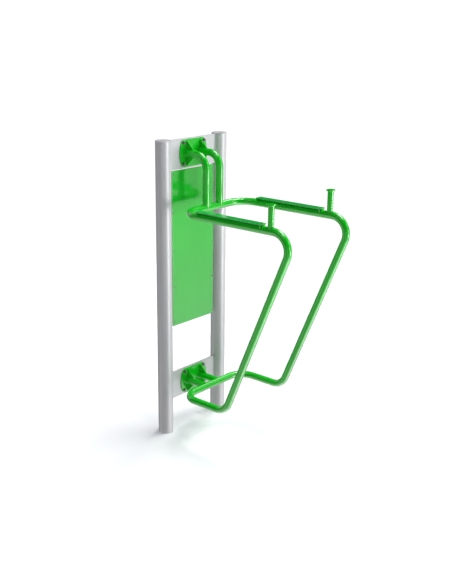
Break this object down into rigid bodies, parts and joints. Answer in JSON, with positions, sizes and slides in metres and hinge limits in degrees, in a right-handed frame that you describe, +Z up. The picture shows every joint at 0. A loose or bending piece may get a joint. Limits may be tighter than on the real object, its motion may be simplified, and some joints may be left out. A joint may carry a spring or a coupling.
{
  "type": "leg raise station",
  "caption": "Outdoor leg raise station: upright posts carry a tall back panel and a bent tube frame with forearm rests and hand grips.",
  "frame": {"origin": "on the ground, midway between the axes of the two posts, in the plane of their open lower ends", "axes": "+Z up, +X towards the right-hand post as seen by someone facing the panel, -Y out of the panel towards the user; left and right halves mirror each other across X = 0"},
  "size_m": [0.648, 1.0973, 2],
  "materials": {
    "post_grey": "satin light grey powder coat",
    "panel_green": "glossy compact laminate",
    "frame_green": "glossy green powder coat",
    "armrest_green": "glossy green powder coat, slightly bluer",
    "stainless_fasteners": "stainless steel",
    "bare_steel": "bare steel, hidden inside the frame"
  },
  "bodies": {
    "root": {"left_post": "post_grey", "right_post": "post_grey", "left_post_cap": "post_grey", "right_post_cap": "post_grey", "upper_cross_plate": "post_grey", "lower_cross_plate": "post_grey", "left_panel_strip": "post_grey", "right_panel_strip": "post_grey", "back_panel": "panel_green", "upper_mounting_plate": "frame_green", "lower_mounting_plate": "frame_green", "left_hanger_tube": "frame_green", "right_hanger_tube": "frame_green", "left_stub_tube": "frame_green", "right_stub_tube": "frame_green", "upper_left_gussets": "frame_green", "upper_right_gussets": "frame_green", "lower_left_gussets": "frame_green", "lower_right_gussets": "frame_green", "left_arm_tube": "frame_green", "right_arm_tube": "frame_green", "left_leg_tube": "frame_green", "right_leg_tube": "frame_green", "left_foot_tube": "frame_green", "right_foot_tube": "frame_green", "left_armrest_saddles": "frame_green", "right_armrest_saddles": "frame_green", "left_grip_tube": "frame_green", "right_grip_tube": "frame_green", "left_grip_disc": "frame_green", "right_grip_disc": "frame_green", "left_armrest_plate": "armrest_green", "right_armrest_plate": "armrest_green", "panel_screws": "stainless_fasteners", "panel_washers": "stainless_fasteners", "panel_nuts": "stainless_fasteners", "upper_plate_bolts": "stainless_fasteners", "upper_plate_washers": "stainless_fasteners", "upper_plate_nuts": "stainless_fasteners", "lower_plate_bolts": "stainless_fasteners", "lower_plate_washers": "stainless_fasteners", "lower_plate_nuts": "stainless_fasteners", "upper_splice_sleeve": "bare_steel", "lower_splice_sleeve": "bare_steel"}
  },
  "joints": []
}
